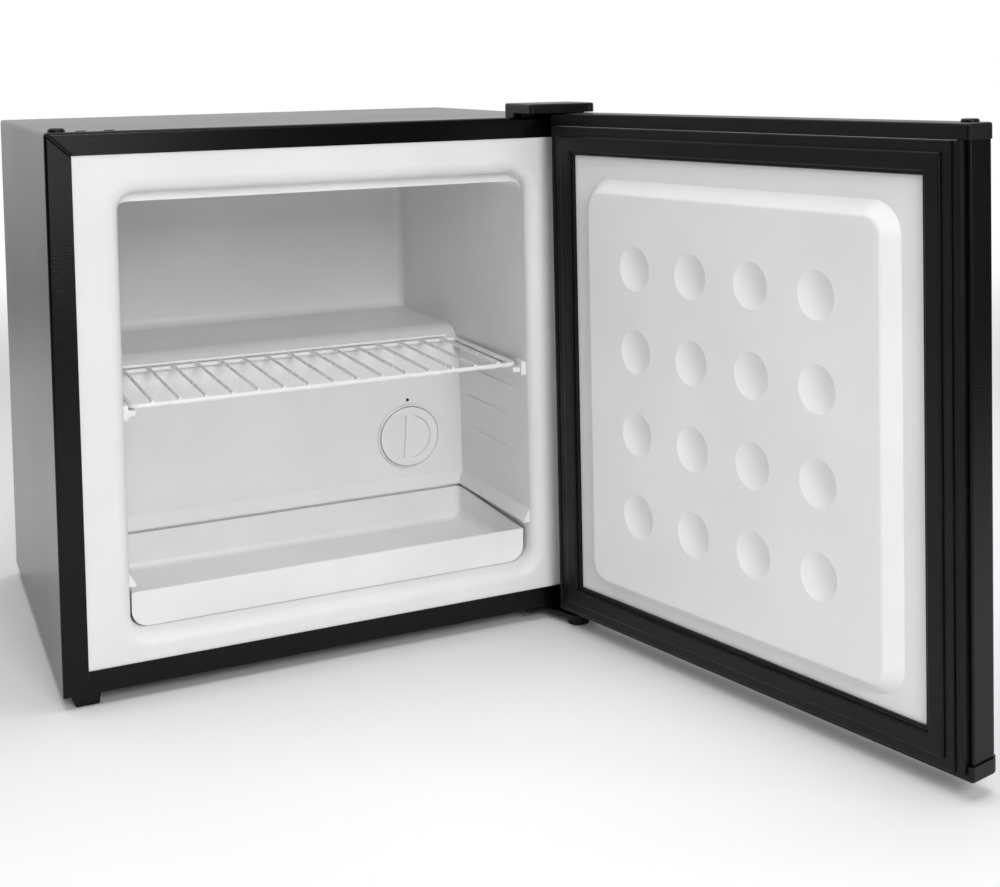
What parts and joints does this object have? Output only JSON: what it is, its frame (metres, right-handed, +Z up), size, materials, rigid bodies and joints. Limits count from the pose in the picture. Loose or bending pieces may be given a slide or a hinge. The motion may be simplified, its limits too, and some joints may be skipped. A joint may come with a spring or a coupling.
{
  "type": "mini fridge",
  "caption": "Table-top mini fridge: insulated box with hinged door, wire shelf, drip tray, thermostat dial and rear compressor bay.",
  "frame": {"origin": "on the floor under the cabinet's front face, on the cabinet's centre plane", "axes": "+X to the right seen from the front, +Y from the front face towards the rear, +Z up"},
  "size_m": [0.5678, 0.8835, 0.4836],
  "materials": {
    "black_paint": "gloss",
    "black_plastic": "satin",
    "white_liner": "satin",
    "white_plastic": "satin",
    "dark_mark": "matt",
    "white_wire": "gloss",
    "seal_rubber": "satin",
    "magnet_strip": "matt",
    "foam": "matt",
    "aluminium": "satin",
    "zinc_steel": "zinc plated",
    "copper": "satin",
    "black_enamel": "satin",
    "grey_plastic": "matt"
  },
  "bodies": {
    "cabinet": {"outer_wrap": "black_paint", "base_panel": "black_paint", "back_panel": "zinc_steel", "inner_liner": "white_liner", "insulation_foam": "foam", "evaporator_plate": "aluminium", "evaporator_tube": "aluminium", "thermostat_body": "grey_plastic", "dial_bezel": "white_plastic", "dial_mark": "dark_mark", "top_hinge_bracket": "black_paint", "top_hinge_pin": "zinc_steel", "top_hinge_screws": "zinc_steel", "top_hinge_cover": "black_plastic", "hinge_hole_plugs": "black_plastic", "bottom_hinge_bracket": "black_paint", "bottom_hinge_pin": "zinc_steel", "bottom_hinge_screws": "zinc_steel", "front_left_foot": "black_plastic", "rear_feet": "black_plastic", "compressor_base": "zinc_steel", "compressor_shell": "black_enamel", "compressor_mount": "zinc_steel", "compressor_grommets": "seal_rubber", "compressor_bolts": "zinc_steel", "terminal_cover": "black_plastic", "filter_drier": "copper", "discharge_pipe": "copper", "liquid_line": "copper", "capillary_tube": "copper", "suction_pipe": "copper", "process_stub": "copper", "condenser_tube": "black_enamel", "condenser_wires": "black_enamel", "condenser_clips": "zinc_steel", "cord_inlet": "black_plastic", "cord_inlet_plate": "zinc_steel"},
    "door": {"door_outer_panel": "black_paint", "door_top_cap": "black_plastic", "door_bottom_cap": "black_plastic", "door_liner": "white_liner", "door_foam": "foam", "door_gasket": "seal_rubber", "gasket_magnets": "magnet_strip", "hinge_bushes": "grey_plastic", "door_socket_plugs": "black_plastic"},
    "shelf": {"wire_shelf": "white_wire"},
    "tray": {"drip_tray": "white_plastic"},
    "dial": {"thermostat_dial": "white_plastic"},
    "foot": {"levelling_foot": "black_plastic"}
  },
  "joints": [
    {"name": "door_hinge", "type": "hinge", "parent": "cabinet", "child": "door", "pos_m": [0.2212, -0.029, 0], "axis": [0, 0, 1], "range_deg": [-103.1, 26.9]},
    {"name": "shelf_slide", "type": "slide", "parent": "cabinet", "child": "shelf", "axis": [0, -1, 0], "range_m": [0, 0.18]},
    {"name": "tray_slide", "type": "slide", "parent": "cabinet", "child": "tray", "axis": [0, -1, 0], "range_m": [0, 0.15]},
    {"name": "dial_turn", "type": "hinge", "parent": "cabinet", "child": "dial", "pos_m": [0.1187, 0.178, 0.145], "axis": [0, -1, 0], "range_deg": [0, 270]},
    {"name": "foot_screw", "type": "hinge", "parent": "cabinet", "child": "foot", "pos_m": [0.2135, -0.023, 0], "axis": [0, 0, 1], "range_deg": [0, 360]}
  ]
}
